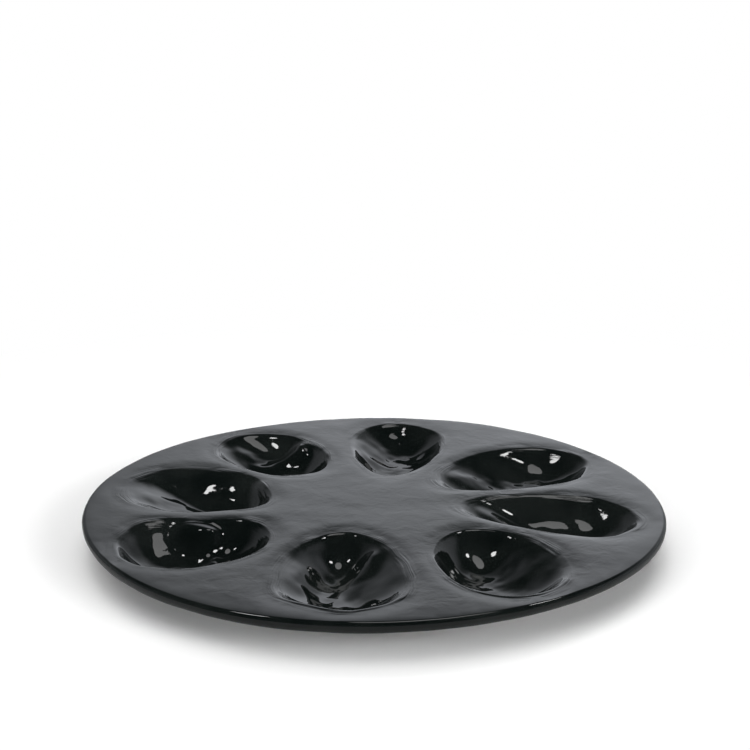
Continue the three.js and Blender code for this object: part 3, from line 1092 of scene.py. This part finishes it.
def floor_material():
    """White sheet, open from below, which the camera sees as full white outside the tray's shadow."""
    material = bpy.data.materials.new("studio_floor")
    tree, surface = cleared_tree(material, "ShaderNodeOutputMaterial")
    path = tree.nodes.new("ShaderNodeLightPath").outputs
    paper = tree.nodes.new("ShaderNodeBsdfDiffuse")
    white = tree.nodes.new("ShaderNodeCombineColor")
    level = maths(tree, "MULTIPLY_ADD", path["Is Camera Ray"], FLOOR_LIFT, FLOOR_WHITE)
    # Painted shade: the glaze's reflections show the floor darker than it is lit
    level = maths(tree, "MULTIPLY_ADD", path["Is Glossy Ray"], FLOOR_DIM, level)
    for channel in white.inputs:
        link(tree, level, channel)
    link(tree, white.outputs[0], paper.inputs["Color"])
    place = tree.nodes.new("ShaderNodeTexCoord").outputs["Object"]
    far = product(tree, path["Is Camera Ray"], eased(tree, reach(tree, place), *FLOOR_FADE))
    sheet = mixed_shader(tree, far, paper, tree.nodes.new("ShaderNodeEmission"))
    below = tree.nodes.new("ShaderNodeNewGeometry").outputs["Backfacing"]
    one_sided = mixed_shader(tree, below, sheet, tree.nodes.new("ShaderNodeBsdfTransparent"))
    link(tree, one_sided.outputs[0], surface)
    return material


def mirrored_level(tree, along, studio):
    """What the glaze reflects: a pale backdrop below a dark ceiling, brightest behind the tray."""
    level = eased(tree, along["Z"], BACKDROP_TOP, CEILING_START, studio.backdrop, studio.ceiling)
    for axis, start, end, after in MIRRORED_FADES:
        level = product(tree, level, eased(tree, along[axis], start, end, to_low=1.0, to_high=after))
    return level


def soft_level(tree, direction, along, studio):
    """What the soft light adds to the white studio's level on matt surfaces."""
    low = product(
        tree,
        eased(tree, along["Z"], *LOW_LIGHT_BOTTOM),
        eased(tree, maths(tree, "ABSOLUTE", along["X"]), *LOW_LIGHT_SIDES),
        eased(tree, along["Z"], *LOW_LIGHT_TOP),
        eased(tree, along["Y"], *LOW_LIGHT_FRONT, to_high=studio.low_light),
        eased(tree, along["X"], *LEFT_TO_RIGHT, to_low=1.0, to_high=RIGHT_GAIN),
    )
    above = vector_node(tree, "DOT_PRODUCT", direction, TOP_LIGHT_FROM).outputs["Value"]
    top = eased(tree, above, *TOP_LIGHT_CONE, to_low=NO_LIGHT, to_high=studio.top_light)
    return maths(tree, "ADD", top, low)


def add_backdrop(studio):
    """White studio, with its own levels for reflections and for soft light."""
    world = bpy.data.worlds.new("studio")
    tree, surface = cleared_tree(world, "ShaderNodeOutputWorld")
    direction = tree.nodes.new("ShaderNodeTexCoord").outputs["Generated"]
    split = tree.nodes.new("ShaderNodeSeparateXYZ")
    link(tree, direction, split.inputs[0])
    path = tree.nodes.new("ShaderNodeLightPath").outputs
    mirrored, scattered = path["Is Glossy Ray"], path["Is Diffuse Ray"]
    level = mirrored_level(tree, split.outputs, studio)
    soft = soft_level(tree, direction, split.outputs, studio)
    shade = product(tree, maths(tree, "SUBTRACT", level, 1.0), mirrored)
    shade = maths(tree, "MULTIPLY_ADD", soft, scattered, shade)
    background = tree.nodes.new("ShaderNodeBackground")
    cool = tree.nodes.new("ShaderNodeCombineColor")
    for channel, change in zip(cool.inputs, MIRRORED_TINT):
        link(tree, maths(tree, "MULTIPLY_ADD", mirrored, change, 1.0), channel)
    link(tree, cool.outputs[0], background.inputs["Color"])
    link(tree, maths(tree, "ADD", shade, 1.0), background.inputs["Strength"])
    link(tree, background.outputs[0], surface)
    bpy.context.scene.world = world


def add_camera(studio):
    data = bpy.data.cameras.new("studio_camera")
    data.lens = studio.camera_lens
    camera = new_object("studio_camera", data)
    camera.location = (studio.camera_x, studio.camera_y, CAD_HIGH.z + studio.camera_rise)
    camera.rotation_euler = (math.pi / 2 - studio.camera_pitch, 0.0, 0.0)
    bpy.context.scene.camera = camera


class OYSTERTRAY_OT_studio(bpy.types.Operator):
    """Set up the floor, the backdrop, the lamps and the camera"""

    bl_idname = "oyster_tray.studio"
    bl_label = "Studio"

    def execute(self, context):
        studio = context.scene.tray_studio
        add_camera(studio)
        add_floor()
        add_backdrop(studio)
        for lamp in LAMPS:
            add_lamp(*lamp, studio.lamp_power)
        add_lamp(*PANEL, studio.panel_power)
        context.scene.view_settings.view_transform = "Standard"
        return {"FINISHED"}


class OYSTERTRAY_PT_sidebar(bpy.types.Panel):
    """Lists the tray's pieces and the sizes that can be changed"""

    bl_label = "Oyster Tray"
    bl_space_type = "VIEW_3D"
    bl_region_type = "UI"
    bl_category = "Oyster Tray"

    def draw(self, context):
        layout = self.layout
        for group in SETTINGS:
            settings = getattr(context.scene, group)
            box = layout.box()
            for name in settings.__annotations__:
                box.prop(settings, name)
        for operator in OPERATORS:
            layout.operator(operator.bl_idname)


OPERATORS = (OYSTERTRAY_OT_studio, OYSTERTRAY_OT_stoneware_body, OYSTERTRAY_OT_glaze_coat)
SETTINGS = {"tray_form": TrayForm, "tray_finish": TrayFinish, "tray_studio": StudioSettings}


def register():
    for cls in (*SETTINGS.values(), *OPERATORS, OYSTERTRAY_PT_sidebar):
        bpy.utils.register_class(cls)
    for name, cls in SETTINGS.items():
        setattr(bpy.types.Scene, name, PointerProperty(type=cls))


def unregister():
    for name in SETTINGS:
        delattr(bpy.types.Scene, name)
    for cls in (OYSTERTRAY_PT_sidebar, *OPERATORS, *SETTINGS.values()):
        bpy.utils.unregister_class(cls)


def main():
    register()
    bpy.ops.oyster_tray.studio()
    bpy.ops.oyster_tray.stoneware_body()
    bpy.ops.oyster_tray.glaze_coat()


if __name__ == "__main__":
    main()
